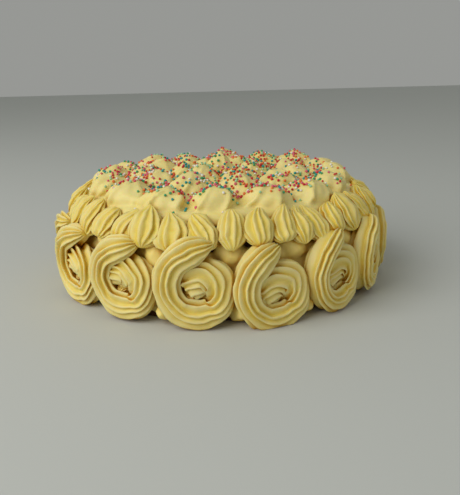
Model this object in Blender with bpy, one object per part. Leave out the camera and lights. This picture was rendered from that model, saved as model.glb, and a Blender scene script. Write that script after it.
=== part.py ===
"""Round nougat cake: a dark sponge, sixteen piped rosettes round its side, a ring of
piped kisses on its shoulder, and a piped dome scattered with sugar beads.

Metres, +Z up. The origin is the middle of the cake's flat underside, and an azimuth of
zero is the -Y side, growing towards +X.
"""
import math
import random

import bmesh
import bpy
from mathutils import Matrix, Vector
from mathutils.bvhtree import BVHTree

GAP = 0.0003
WELDS = (0.000002, 0.000005, 0.00001, 0.00002, 0.00004)
SPLIT_ROUNDS = 3

# The sponge
SPONGE_RADIUS = 0.1047
SPONGE_SHOULDER_Z = 0.056
SPONGE_TOP_RADIUS = 0.0995
SPONGE_HEIGHT = 0.0620
SPONGE_EDGE_IN = 0.0016
SPONGE_EDGE_UP = 0.0034
SPONGE_SIDES = 40

# The strand that each rosette is wound from, clockwise. Each row is a place along it, in mm:
# across and up from the pivot, half the strand's width, and how far it stands out
STRAND = (
    (-8.9, 7.9, 9.6, 14.5),
    (-2.2, 12.8, 12.2, 16.0),
    (6.2, 10.8, 12.2, 16.5),
    (9.4, 1.5, 9.6, 16.5),
    (6.3, -7.3, 9.9, 17.0),
    (-1.0, -10.8, 10.6, 17.5),
    (-8.8, -10.8, 11.0, 18.5),
    (-16.0, -7.2, 11.0, 20.0),
    (-21.4, 1.0, 10.8, 21.5),
    (-22.6, 12.2, 10.6, 22.5),
    (-17.8, 23.0, 10.4, 22.5),
    (-8.8, 30.0, 10.0, 21.0),
    (-1.4, 32.6, 7.4, 17.5),
    (4.0, 34.0, 3.0, 13.0),
)
STRAND_SECTIONS = 13
STRAND_START_RUN = 2.0
STRAND_BEND_RUN = 0.5
STRAND_BEND_SHARE = 0.85
STRAND_RIDGES = 3
STRAND_GROOVE = 0.30
STRAND_EDGE_HEIGHT = 0.35

# The rosettes round the side
ROSETTE_COUNT = 16
ROSETTE_PITCH = 2 * math.pi / ROSETTE_COUNT
ROSETTE_BASE_RADIUS = SPONGE_RADIUS + 0.0008
ROSETTE_SCALE_RADIUS = 0.1200
# The six rosettes at the front: azimuth in degrees, height of the pivot in mm, turn in degrees,
# size, and how far in mm the strand's start is moved across and up
FRONT_ROSETTES = (
    (-55.0, 22.5, 0, 0.94, 0, 2),
    (-30.1, 21.0, -3, 0.93, -1, 6),
    (-5.1, 21.8, 0, 1.00, 0, 0),
    (19.4, 18.5, 15, 0.98, -4, 0),
    (44.8, 20.5, 10, 0.96, -4, 1),
    (67.0, 22.0, 6, 0.92, 0, 0),
)
ROSETTE_BED_RADIUS = 0.0150
ROSETTE_BED_FLOOR = 0.0030
ROSETTE_BED_DEPTH = 0.0070
ROSETTE_BED_SIDES = 6
ROSETTE_BASE_RISE = 0.0006
ROSETTE_SEED = 7

# The block that holds a rosette, which the one beside it is cut back by
OUTLINE_SIDES = 12
OUTLINE_SAMPLES = 240
OUTLINE_FROM = -0.004
OUTLINE_TO = 0.040
FLOOR_BLOCK_SIZE = 0.080

# The kisses on the shoulder: teardrops that lean inwards, round end down
KISS_COUNT = 40
FRONT_KISS_AZIMUTHS = (-26.2, -14.7, -4.9, 3.9, 11.8, 20.3, 27.7, 34.4, 41.8)
KISS_FOOT = (0.1152, 0.0500)
KISS_TIP = (0.1005, 0.0740)
KISS_BULGE_RADIUS = 0.1100
KISS_HALF_WIDTH = 0.0096
KISS_DEPTH = 0.58
KISS_RIDGES = 5
KISS_GROOVE = 0.20
# Each ring of a kiss: its share of the length, and its share of the full width
KISS_RINGS = ((0.07, 0.74), (0.34, 1.0), (0.72, 0.70))
KISS_SEED = 11

# The dome of cream on top, and the rings of larger kisses that cover it
DOME_PROFILE = ((0.0990, SPONGE_HEIGHT + GAP), (0.0983, 0.0660), (0.0900, 0.0695), (0.0550, 0.0728))
DOME_TOP_Z = 0.0740
DOME_SIDES = 20
# Each ring of the top: radius, number, half width, height, and azimuth of the first in degrees
TOP_RINGS = (
    (0.0805, 16, 0.0175, 0.0120, -2.0),
    (0.0540, 11, 0.0185, 0.0125, 12.0),
    (0.0250, 6, 0.0160, 0.0130, -30.0),
)
TOP_MIDDLE_WIDTH = 0.0135
TOP_MIDDLE_HEIGHT = 0.0225
TOP_KISS_RIDGES = 5
TOP_KISS_GROOVE = 0.15
TOP_KISS_RINGS = ((0.20, 1.0), (0.66, 0.74))
TOP_KISS_TWIST = 0.3
TOP_KISS_ROOT = 0.3
TOP_LIMIT_RADIUS = 0.0975
TOP_SEED = 41

# The sugar beads that are fused to the top cream
BEAD_RADIUS = 0.0012
BEAD_COUNT = 12
BEAD_FIELD_RADIUS = 0.0780
BEAD_SUNK = 0.22
BEAD_SEED = 31


def remove_scene_objects():
    """Clears the scene that the cake is built in."""
    for item in list(bpy.data.objects):
        bpy.data.objects.remove(item, do_unlink=True)


def make_material(name, colour, roughness):
    """A Principled material of one colour."""
    material = bpy.data.materials.new(name)
    material.use_nodes = True
    shader = material.node_tree.nodes["Principled BSDF"]
    shader.inputs["Base Color"].default_value = (*colour, 1.0)
    shader.inputs["Roughness"].default_value = roughness
    shader.inputs["Metallic"].default_value = 0.0
    return material


def around(azimuth, radius, height):
    """The point at an azimuth and a distance from the cake's axis."""
    return Vector((radius * math.sin(azimuth), -radius * math.cos(azimuth), height))


def make_object(name, points, faces, material=None):
    """A mesh object with its faces turned outwards."""
    mesh = bpy.data.meshes.new(name)
    mesh.from_pydata([tuple(point) for point in points], [], faces)
    shell = bmesh.new()
    shell.from_mesh(mesh)
    bmesh.ops.recalc_face_normals(shell, faces=shell.faces)
    shell.to_mesh(mesh)
    shell.free()
    item = bpy.data.objects.new(name, mesh)
    if material:
        mesh.materials.append(material)
    bpy.context.scene.collection.objects.link(item)
    return item


def loft(rings):
    """Points and faces of a closed body through rings of equal length, its ends capped."""
    count = len(rings[0])
    points = [point for ring in rings for point in ring]
    faces = []
    for row in range(len(rings) - 1):
        for column in range(count):
            after = (column + 1) % count
            low = row * count
            high = low + count
            faces.append((low + column, low + after, high + after, high + column))
    last = (len(rings) - 1) * count
    faces.append(tuple(range(count)))
    faces.append(tuple(range(last, last + count)))
    return points, faces


def drop(bottom, rings, top):
    """Points and faces of a closed body with a point at each end."""
    points, faces = loft(rings)
    faces = faces[:-2]
    count = len(rings[0])
    last = (len(rings) - 1) * count
    low = len(points)
    high = low + 1
    points = points + [bottom, top]
    for column in range(count):
        after = (column + 1) % count
        faces.append((low, after, column))
        faces.append((high, last + column, last + after))
    return points, faces


def apply_boolean(item, others, operation, inside=False, solver='EXACT'):
    """Joins or cuts an object with others, which are then removed."""
    folder = bpy.data.collections.new("operands")
    bpy.context.scene.collection.children.link(folder)
    for other in others:
        folder.objects.link(other)
        other.hide_render = True
        other.display_type = 'WIRE'
    step = item.modifiers.new("join", 'BOOLEAN')
    step.operation = operation
    step.solver = solver
    step.operand_type = 'COLLECTION'
    step.collection = folder
    if inside:
        step.use_self = True
    graph = bpy.context.evaluated_depsgraph_get()
    result = bpy.data.meshes.new_from_object(item.evaluated_get(graph))
    item.modifiers.clear()
    item.data = result
    for other in others:
        bpy.data.objects.remove(other, do_unlink=True)
    bpy.data.collections.remove(folder)


def island_volume(faces):
    """The volume that a set of faces encloses."""
    total = 0.0
    for face in faces:
        corners = [vert.co for vert in face.verts]
        for index in range(1, len(corners) - 1):
            total += corners[0].dot(corners[index].cross(corners[index + 1]))
    return abs(total) / 6


def bad_edges(shell):
    """The edges that do not have exactly two faces, each as a pair of corner numbers."""
    shell.verts.index_update()
    edges = [edge for edge in shell.edges if len(edge.link_faces) != 2]
    return {frozenset(vert.index for vert in edge.verts) for edge in edges}


def welded_shell(mesh):
    """The mesh as welded triangles; faces that would share a diagonal are split from their middle."""
    for weld in WELDS:
        shared = set()
        for _ in range(SPLIT_ROUNDS):
            shell = bmesh.new()
            shell.from_mesh(mesh)
            bmesh.ops.remove_doubles(shell, verts=shell.verts, dist=weld)
            shell.verts.index_update()
            corners = {face: {vert.index for vert in face.verts} for face in shell.faces}
            split = [face for face in shell.faces if any(pair <= corners[face] for pair in shared)]
            bmesh.ops.poke(shell, faces=split)
            bmesh.ops.triangulate(shell, faces=shell.faces)
            shared |= bad_edges(shell)
            bmesh.ops.dissolve_degenerate(shell, edges=shell.edges, dist=weld)
            bmesh.ops.triangulate(shell, faces=shell.faces)
            if not bad_edges(shell):
                return shell
            shell.free()
    raise ValueError(f"{mesh.name} has open seams")


def keep_largest_body(item):
    """Makes an object one closed body of triangles and drops its loose scraps."""
    shell = welded_shell(item.data)
    left = set(shell.faces)
    islands = []
    while left:
        seed = left.pop()
        island = {seed}
        front = [seed]
        while front:
            for edge in front.pop().edges:
                for near in edge.link_faces:
                    if near in left:
                        left.discard(near)
                        island.add(near)
                        front.append(near)
        islands.append(island)
    islands.sort(key=island_volume)
    scraps = [face for island in islands[:-1] for face in island]
    bmesh.ops.delete(shell, geom=scraps, context='FACES')
    shell.to_mesh(item.data)
    shell.free()
    item.data.shade_smooth()
    item.data.set_sharp_from_angle(angle=math.radians(35))


def make_sponge(material):
    """A plain round of sponge with its top edge rounded over."""
    profile = (
        (SPONGE_RADIUS, 0.0),
        (SPONGE_RADIUS, SPONGE_SHOULDER_Z),
        (SPONGE_RADIUS - SPONGE_EDGE_IN, SPONGE_SHOULDER_Z + SPONGE_EDGE_UP),
        (SPONGE_TOP_RADIUS, SPONGE_HEIGHT),
    )
    rings = []
    for radius, height in profile:
        turns = [2 * math.pi * side / SPONGE_SIDES for side in range(SPONGE_SIDES)]
        rings.append([around(turn, radius, height) for turn in turns])
    item = make_object("sponge", *loft(rings), material)
    item.data.shade_smooth()
    item.data.set_sharp_from_angle(angle=math.radians(35))
    return item


def spline(rows, at):
    """The values part of the way through a table, on a smooth curve through its rows."""
    last = len(rows) - 1
    row = min(last - 1, int(at))
    share = at - row
    square, cube = share ** 2, share ** 3
    values = []
    for a, b, c, d in zip(rows[max(0, row - 1)], rows[row], rows[row + 1], rows[min(last, row + 2)]):
        rise, fall = (c - a) / 2, (d - b) / 2
        value = b * (2 * cube - 3 * square + 1) + c * (3 * square - 2 * cube)
        values.append(value + rise * (cube - 2 * square + share) + fall * (cube - square))
    return values


class Rosette:
    """One rosette: where it sits, how far it is turned, how large it is, and where it starts."""

    def __init__(self, azimuth, middle, turn, size, start_across, start_up):
        self.azimuth = math.radians(azimuth)
        self.middle = middle / 1000
        self.turn = math.radians(turn)
        self.size = size
        self.start = (start_across, start_up)

    def place(self, across, up, out):
        """A point of the flat spiral, bent round the side of the cake."""
        azimuth = self.azimuth + across / ROSETTE_SCALE_RADIUS
        return around(azimuth, ROSETTE_BASE_RADIUS + out, self.middle + up)

    def strand(self, at):
        """The strand's place across and up, half width and depth, in metres."""
        across, up, half, depth = spline(STRAND, at)
        near = max(0.0, 1 - at / STRAND_START_RUN)
        across += self.start[0] * near
        up += self.start[1] * near
        turned = Vector((across, up)) @ Matrix.Rotation(-self.turn, 2)
        return turned * self.size / 1000, half * self.size / 1000, depth * self.size / 1000

    def outward(self, at):
        """The direction from the strand's middle line to its outer edge."""
        before, after = max(0.0, at - 0.05), min(len(STRAND) - 1.0, at + 0.05)
        heading = (self.strand(after)[0] - self.strand(before)[0]).normalized()
        return Vector((-heading.y, heading.x))

    def inner_half(self, at):
        """The half width towards the pivot, kept short of where the bend would fold it."""
        before, after = max(0.0, at - STRAND_BEND_RUN), min(len(STRAND) - 1.0, at + STRAND_BEND_RUN)
        chord = (self.strand(after)[0] - self.strand(before)[0]).length
        turned = self.outward(before).angle(self.outward(after))
        return min(self.strand(at)[1], STRAND_BEND_SHARE * chord / max(turned, 0.01))

    def section(self, at):
        """The ridged section of the strand at one place along the spiral."""
        middle, half, depth = self.strand(at)
        outward = self.outward(at)
        ring = []
        spots = 2 * STRAND_RIDGES
        for spot in range(spots + 1):
            side = 2 * spot / spots - 1
            crown = STRAND_EDGE_HEIGHT + (1 - STRAND_EDGE_HEIGHT) * math.sqrt(1 - side * side)
            out = depth * crown
            if spot % 2 == 0 and 0 < spot < spots:
                out -= STRAND_GROOVE * half
            ring.append((side * half, out))
        base = ROSETTE_BASE_RISE * at / len(STRAND)
        ring.append((half, base))
        ring.append((-half, base))
        narrow = self.inner_half(at) / half
        flat = [(across * narrow if across < 0 else across, out) for across, out in ring]
        return [self.place(*(middle + outward * across), out) for across, out in flat]

    def outline(self, margin, inner, outer):
        """A block that holds the whole rosette, as seen from outside, and a margin round it."""
        reach = [0.0] * OUTLINE_SIDES
        for step in range(OUTLINE_SAMPLES + 1):
            at = (len(STRAND) - 1) * step / OUTLINE_SAMPLES
            middle, half, _ = self.strand(at)
            edge = middle + self.outward(at) * half
            slot = round(math.atan2(edge.y, edge.x) / (2 * math.pi) * OUTLINE_SIDES) % OUTLINE_SIDES
            reach[slot] = max(reach[slot], edge.length)
        stretch = 1 / math.cos(math.pi / OUTLINE_SIDES)
        rings = []
        for out in (inner, outer):
            ring = []
            for slot in range(OUTLINE_SIDES):
                direction = 2 * math.pi * slot / OUTLINE_SIDES
                distance = reach[slot] * stretch + margin
                ring.append(self.place(distance * math.cos(direction), distance * math.sin(direction), out))
            rings.append(ring)
        return make_object("outline", *loft(rings))


def make_kiss(name, azimuth, scale, half_width, groove, margin, material=None):
    """A ridged teardrop on the shoulder; a margin and no groove make its cutter."""
    foot = Vector((0.0, *KISS_FOOT))
    tip = Vector((0.0, *KISS_TIP))
    along = (tip - foot).normalized()
    length = (tip - foot).length * scale
    outward = Vector((0.0, -along.z, along.y))
    if outward.y < 0:
        outward.negate()
    sideways = Vector((1.0, 0.0, 0.0))
    rings = []
    for share, fullness in KISS_RINGS:
        ring = []
        for spot in range(0, 2 * KISS_RIDGES, 1 if groove else 2):
            turn = math.pi * spot / KISS_RIDGES
            radius = half_width * fullness * (1 - groove * (spot % 2)) + margin
            middle = foot + along * length * share
            depth = KISS_DEPTH * radius * math.sin(turn)
            ring.append(middle + sideways * radius * math.cos(turn) + outward * depth)
        rings.append(ring)
    bottom = foot - along * margin
    top = foot + along * (length + 2 * margin)
    points, faces = drop(bottom, rings, top)
    placed = []
    for point in points:
        side = Vector((math.cos(azimuth), math.sin(azimuth), 0.0)) * point.x
        placed.append(around(azimuth, point.y, point.z) + side)
    return make_object(name, placed, faces, material)


def kiss_layout():
    """The azimuth, length and half width of each kiss, each filling the space it has."""
    draw = random.Random(KISS_SEED)
    first, last = FRONT_KISS_AZIMUTHS[0], FRONT_KISS_AZIMUTHS[-1]
    others = KISS_COUNT - len(FRONT_KISS_AZIMUTHS)
    pitch = (360 + first - last) / (others + 1)
    azimuths = list(FRONT_KISS_AZIMUTHS)
    azimuths += [last + pitch * (index + 1) + draw.uniform(-0.7, 0.7) for index in range(others)]
    azimuths = [math.radians(azimuth) for azimuth in azimuths]
    borders = [(azimuth + before) / 2 for before, azimuth in zip(azimuths, azimuths[1:])]
    borders.insert(0, (azimuths[-1] - 2 * math.pi + azimuths[0]) / 2)
    borders.append(borders[0] + 2 * math.pi)
    layout = []
    for low, high in zip(borders, borders[1:]):
        room = KISS_BULGE_RADIUS * math.sin((high - low) / 2) - GAP
        layout.append(((low + high) / 2, draw.uniform(0.95, 1.05), min(KISS_HALF_WIDTH, room)))
    return layout


def rosette_layout():
    """The six rosettes that the front shows and ten more that fill the rest of the side."""
    draw = random.Random(ROSETTE_SEED)
    rosettes = [Rosette(*look) for look in FRONT_ROSETTES]
    first, last = FRONT_ROSETTES[0][0], FRONT_ROSETTES[-1][0]
    others = ROSETTE_COUNT - len(FRONT_ROSETTES)
    pitch = (360 + first - last) / (others + 1)
    for index in range(others):
        azimuth = last + pitch * (index + 1) + draw.uniform(-0.6, 0.6)
        look = (azimuth, draw.uniform(19.5, 22.0), draw.uniform(-6, 18), draw.uniform(0.85, 0.91))
        rosettes.append(Rosette(*look, draw.uniform(-3, 1), draw.uniform(-1, 5)))
    return rosettes


def make_top_kiss(azimuth, radius, base, half_width, height, turn):
    """One large soft kiss of the top, its foot sunk in the dome."""
    rings = []
    for share, fullness in TOP_KISS_RINGS:
        ring = []
        for spot in range(2 * TOP_KISS_RIDGES):
            angle = turn + math.pi * spot / TOP_KISS_RIDGES + TOP_KISS_TWIST * share
            reach = half_width * fullness * (1 - TOP_KISS_GROOVE * (spot % 2))
            middle = around(azimuth, radius, base + height * share)
            ring.append(middle + Vector((reach * math.cos(angle), reach * math.sin(angle), 0.0)))
        rings.append(ring)
    tip = around(azimuth, radius, base + height)
    floor = around(azimuth, radius, base - TOP_KISS_ROOT * height)
    return make_object("top_kiss", *drop(floor, rings, tip))


def dome_height(radius):
    """How high the bare dome is at a distance from the cake's axis."""
    line = list(DOME_PROFILE) + [(0.0, DOME_TOP_Z)]
    for (outer, low), (inner, high) in zip(line, line[1:]):
        if inner <= radius <= outer:
            return low + (high - low) * (outer - radius) / (outer - inner)
    return DOME_PROFILE[0][1]


def make_top_cream(material):
    """The dome, its rings of kisses and the sugar beads, joined into one body."""
    turns = [2 * math.pi * side / DOME_SIDES for side in range(DOME_SIDES)]
    rings = [[around(turn, radius, height) for turn in turns] for radius, height in DOME_PROFILE]
    floor = around(0.0, 0.0, DOME_PROFILE[0][1])
    peak = around(0.0, 0.0, DOME_TOP_Z)
    item = make_object("top_cream", *drop(floor, rings, peak), material)
    draw = random.Random(TOP_SEED)
    kisses = []
    for ring_radius, count, half_width, height, first in TOP_RINGS:
        for index in range(count):
            azimuth = math.radians(first + 360 * index / count + draw.uniform(-1.5, 1.5))
            radius = ring_radius + draw.uniform(-0.0012, 0.0006)
            width = min(half_width * draw.uniform(0.92, 1.06), TOP_LIMIT_RADIUS - radius)
            tall = height * draw.uniform(0.88, 1.14)
            kisses.append(make_top_kiss(azimuth, radius, dome_height(radius), width, tall, draw.uniform(0, 1)))
    kisses.append(make_top_kiss(0.0, 0.0, DOME_TOP_Z, TOP_MIDDLE_WIDTH, TOP_MIDDLE_HEIGHT, 0.2))
    apply_boolean(item, kisses, 'UNION')
    keep_largest_body(item)
    apply_boolean(item, make_beads(item), 'UNION', solver='MANIFOLD')
    keep_largest_body(item)
    return item


def make_beads(cream):
    """Sugar beads spread over the middle of the top, each partly sunk in the cream."""
    surface = BVHTree.FromObject(cream, bpy.context.evaluated_depsgraph_get())
    draw = random.Random(BEAD_SEED)
    beads = []
    golden = math.pi * (3 - math.sqrt(5))
    for index in range(BEAD_COUNT):
        radius = BEAD_FIELD_RADIUS * math.sqrt((index + 0.5) / BEAD_COUNT)
        above = around(index * golden + draw.uniform(-0.1, 0.1), radius, 0.2)
        spot, normal, _, _ = surface.ray_cast(above, Vector((0.0, 0.0, -1.0)))
        centre = spot + normal * BEAD_RADIUS * (1 - 2 * BEAD_SUNK)
        shell = bmesh.new()
        bmesh.ops.create_icosphere(shell, subdivisions=1, radius=BEAD_RADIUS)
        bmesh.ops.translate(shell, verts=shell.verts, vec=centre)
        mesh = bpy.data.meshes.new("bead")
        shell.to_mesh(mesh)
        shell.free()
        bead = bpy.data.objects.new("bead", mesh)
        bpy.context.scene.collection.objects.link(bead)
        beads.append(bead)
    return beads


def make_rosette(index, rosette, lapping, layout, material):
    """One rosette: cut back where the next one laps over it and where the kisses sit."""
    places = [(len(STRAND) - 1) * step / (STRAND_SECTIONS - 1) for step in range(STRAND_SECTIONS)]
    rings = [rosette.section(at) for at in places]
    item = make_object(f"side_rosette_{index + 1:02d}", *loft(rings), material)
    spots = [2 * math.pi * side / ROSETTE_BED_SIDES for side in range(ROSETTE_BED_SIDES)]
    bed = []
    for out in (ROSETTE_BED_FLOOR, ROSETTE_BED_DEPTH):
        flat = [(ROSETTE_BED_RADIUS * math.cos(spot), ROSETTE_BED_RADIUS * math.sin(spot)) for spot in spots]
        bed.append([rosette.place(across, up, out) for across, up in flat])
    apply_boolean(item, [make_object("bed", *loft(bed))], 'UNION', inside=True)
    cutters = [lapping.outline(GAP, OUTLINE_FROM, OUTLINE_TO)]
    for azimuth, scale, half_width in layout:
        apart = (azimuth - rosette.azimuth + math.pi) % (2 * math.pi) - math.pi
        if abs(apart) < ROSETTE_PITCH:
            cutters.append(make_kiss("cutter", azimuth, scale, half_width, 0.0, GAP))
    cutters.append(make_floor_block(rosette.azimuth))
    apply_boolean(item, cutters, 'DIFFERENCE')
    keep_largest_body(item)
    return item


def make_floor_block(azimuth):
    """A block under the cake, so that a low strand is flat where it meets the surface."""
    middle = around(azimuth, SPONGE_RADIUS, GAP - FLOOR_BLOCK_SIZE / 2)
    shell = bmesh.new()
    bmesh.ops.create_cube(shell, size=FLOOR_BLOCK_SIZE)
    bmesh.ops.translate(shell, verts=shell.verts, vec=middle)
    mesh = bpy.data.meshes.new("floor_block")
    shell.to_mesh(mesh)
    shell.free()
    item = bpy.data.objects.new("floor_block", mesh)
    bpy.context.scene.collection.objects.link(item)
    return item


def main():
    remove_scene_objects()
    sponge = make_material("sponge", (0.105, 0.040, 0.018), 0.90)
    cream = make_material("cream", (0.820, 0.680, 0.270), 0.45)
    make_sponge(sponge)
    rosettes = rosette_layout()
    layout = kiss_layout()
    for index, rosette in enumerate(rosettes):
        make_rosette(index, rosette, rosettes[(index + 1) % ROSETTE_COUNT], layout, cream)
    for index, (azimuth, scale, half_width) in enumerate(layout):
        name = f"shoulder_kiss_{index + 1:02d}"
        kiss = make_kiss(name, azimuth, scale, half_width, KISS_GROOVE, 0.0, cream)
        keep_largest_body(kiss)
    make_top_cream(cream)


main()
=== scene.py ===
# %% [markdown]
# This lesson dresses a round nougat cake: a dark sponge, large piped rosettes round its
# side, small kisses on its shoulder, and soft mounds of cream on top with sugar beads.
# The solids are already made at their real size. They are loaded as a fixed frame, and
# every piece made here takes the place of one or more of them. Sizes are metres where nothing
# else is said, the cake stands on z = 0, and an azimuth of zero is the side that faces the
# camera.

# %% Load the frame
import math
import random

import bmesh
import bpy
from mathutils import Matrix, Vector
from mathutils import noise


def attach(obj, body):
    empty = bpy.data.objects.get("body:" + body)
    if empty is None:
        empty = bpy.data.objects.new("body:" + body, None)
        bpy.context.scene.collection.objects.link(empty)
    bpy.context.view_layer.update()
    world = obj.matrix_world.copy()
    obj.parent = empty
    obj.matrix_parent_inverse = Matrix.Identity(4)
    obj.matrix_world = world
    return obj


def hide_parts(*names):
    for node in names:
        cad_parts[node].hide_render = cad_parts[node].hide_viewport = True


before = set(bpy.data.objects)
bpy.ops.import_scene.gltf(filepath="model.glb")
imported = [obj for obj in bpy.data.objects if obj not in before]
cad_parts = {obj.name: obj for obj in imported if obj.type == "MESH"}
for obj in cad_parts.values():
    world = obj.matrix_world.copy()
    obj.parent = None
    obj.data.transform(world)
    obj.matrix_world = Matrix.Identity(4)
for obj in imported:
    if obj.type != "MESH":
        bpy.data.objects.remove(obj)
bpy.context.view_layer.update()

# %% [markdown]
# The camera comes first, because everything later is judged through it. A camera's place
# could be set by rotation angles, but building its three axes from where it looks is easier
# to check: one axis points back, one right and one up. The picture is a little crooked, so
# the camera is also rolled by a degree and a half.

# %% Camera
PHOTO_WIDTH, PHOTO_HEIGHT = 460, 495
FOCAL_PIXELS = 620
CAMERA_PLACE = Vector((0.0050, -0.4748, 0.1611))
CAMERA_DOWN = math.radians(16.81)
CAMERA_YAW = math.radians(0.089)
CAMERA_ROLL = math.radians(-1.4766)


def make_camera():
    """A camera at the picture's place and angle."""
    look = Vector((math.sin(CAMERA_YAW) * math.cos(CAMERA_DOWN),
                   math.cos(CAMERA_YAW) * math.cos(CAMERA_DOWN), -math.sin(CAMERA_DOWN)))
    right = look.cross(Vector((0, 0, 1))).normalized()
    up = right.cross(look)
    axes = Matrix((right, up, -look)).transposed()
    lens = bpy.data.cameras.new("camera")
    lens.sensor_width = 36
    lens.lens = lens.sensor_width * FOCAL_PIXELS / PHOTO_HEIGHT
    lens.clip_start = 0.01
    camera = bpy.data.objects.new("camera", lens)
    roll = Matrix.Rotation(CAMERA_ROLL, 3, 'Z')
    camera.matrix_world = Matrix.Translation(CAMERA_PLACE) @ (axes @ roll).to_4x4()
    bpy.context.scene.collection.objects.link(camera)
    bpy.context.scene.camera = camera
    return camera


camera = make_camera()
print("camera lens", round(camera.data.lens, 2), "mm")

# %% [markdown]
# Node trees can be drawn by hand in the editor or built by code. Code keeps the recipe in
# one place and makes the same tree on each run. Three small helpers do the wiring: `put` adds
# a node and feeds its sockets, `sum_up` is one step of arithmetic, and `add_inputs` says what
# a group's own inputs and outputs are called.

# %% Helpers for node trees
def put(tree, kind, feeds=None, **settings):
    """Adds a node; feeds maps each input's name or number to a socket or a value."""
    node = tree.nodes.new(kind)
    for key, value in settings.items():
        setattr(node, key, value)
    for key, value in (feeds or {}).items():
        socket = node.inputs[key]
        if isinstance(value, bpy.types.NodeSocket):
            tree.links.new(value, socket)
        else:
            socket.default_value = value
    return node


def sum_up(tree, operation, first, second=0.0, third=0.0):
    """One step of arithmetic, as the socket that carries its result."""
    return put(tree, 'ShaderNodeMath', {0: first, 1: second, 2: third}, operation=operation).outputs[0]


def add_inputs(tree, inputs, output):
    """Gives a node group its named inputs and its one or more named outputs."""
    for name, kind, value in inputs:
        socket = tree.interface.new_socket(name, in_out='INPUT', socket_type=kind)
        if value is not None:
            socket.default_value = value
    for name, kind in output:
        tree.interface.new_socket(name, in_out='OUTPUT', socket_type=kind)
    return put(tree, 'NodeGroupInput'), put(tree, 'NodeGroupOutput')


print("helpers ready")

# %% [markdown]
# Piped cream keeps the shape of its nozzle. A star nozzle gives a strand with ridges along
# it, whatever path the hand follows. Each rosette, kiss and mound could be sculpted, but a
# path and a star section say the same with a few sizes: Curve to Mesh sweeps the section
# along the path, and a width stored along the path makes the strand swell and run out. The
# strand is then pressed to its own depth, flatter on its face the lower Fullness is. The tree
# also remembers how deep each point lies in its groove, so that painted groove shade can
# follow it.

# %% Geometry Nodes: a star nozzle
# How the ridges' spacing wanders round the star: waves in a turn, and where each one starts
UNEVEN_WAVES = ((2, 1.0), (5, 2.0))
# Just under a half, so that the crest is never raised to a power from below zero
HALF_WAVE = 0.499


def named(tree, name, kind='FLOAT'):
    """The value of a stored attribute, as a socket."""
    node = put(tree, 'GeometryNodeInputNamedAttribute', {"Name": name}, data_type=kind)
    return node.outputs["Attribute"]


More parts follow.
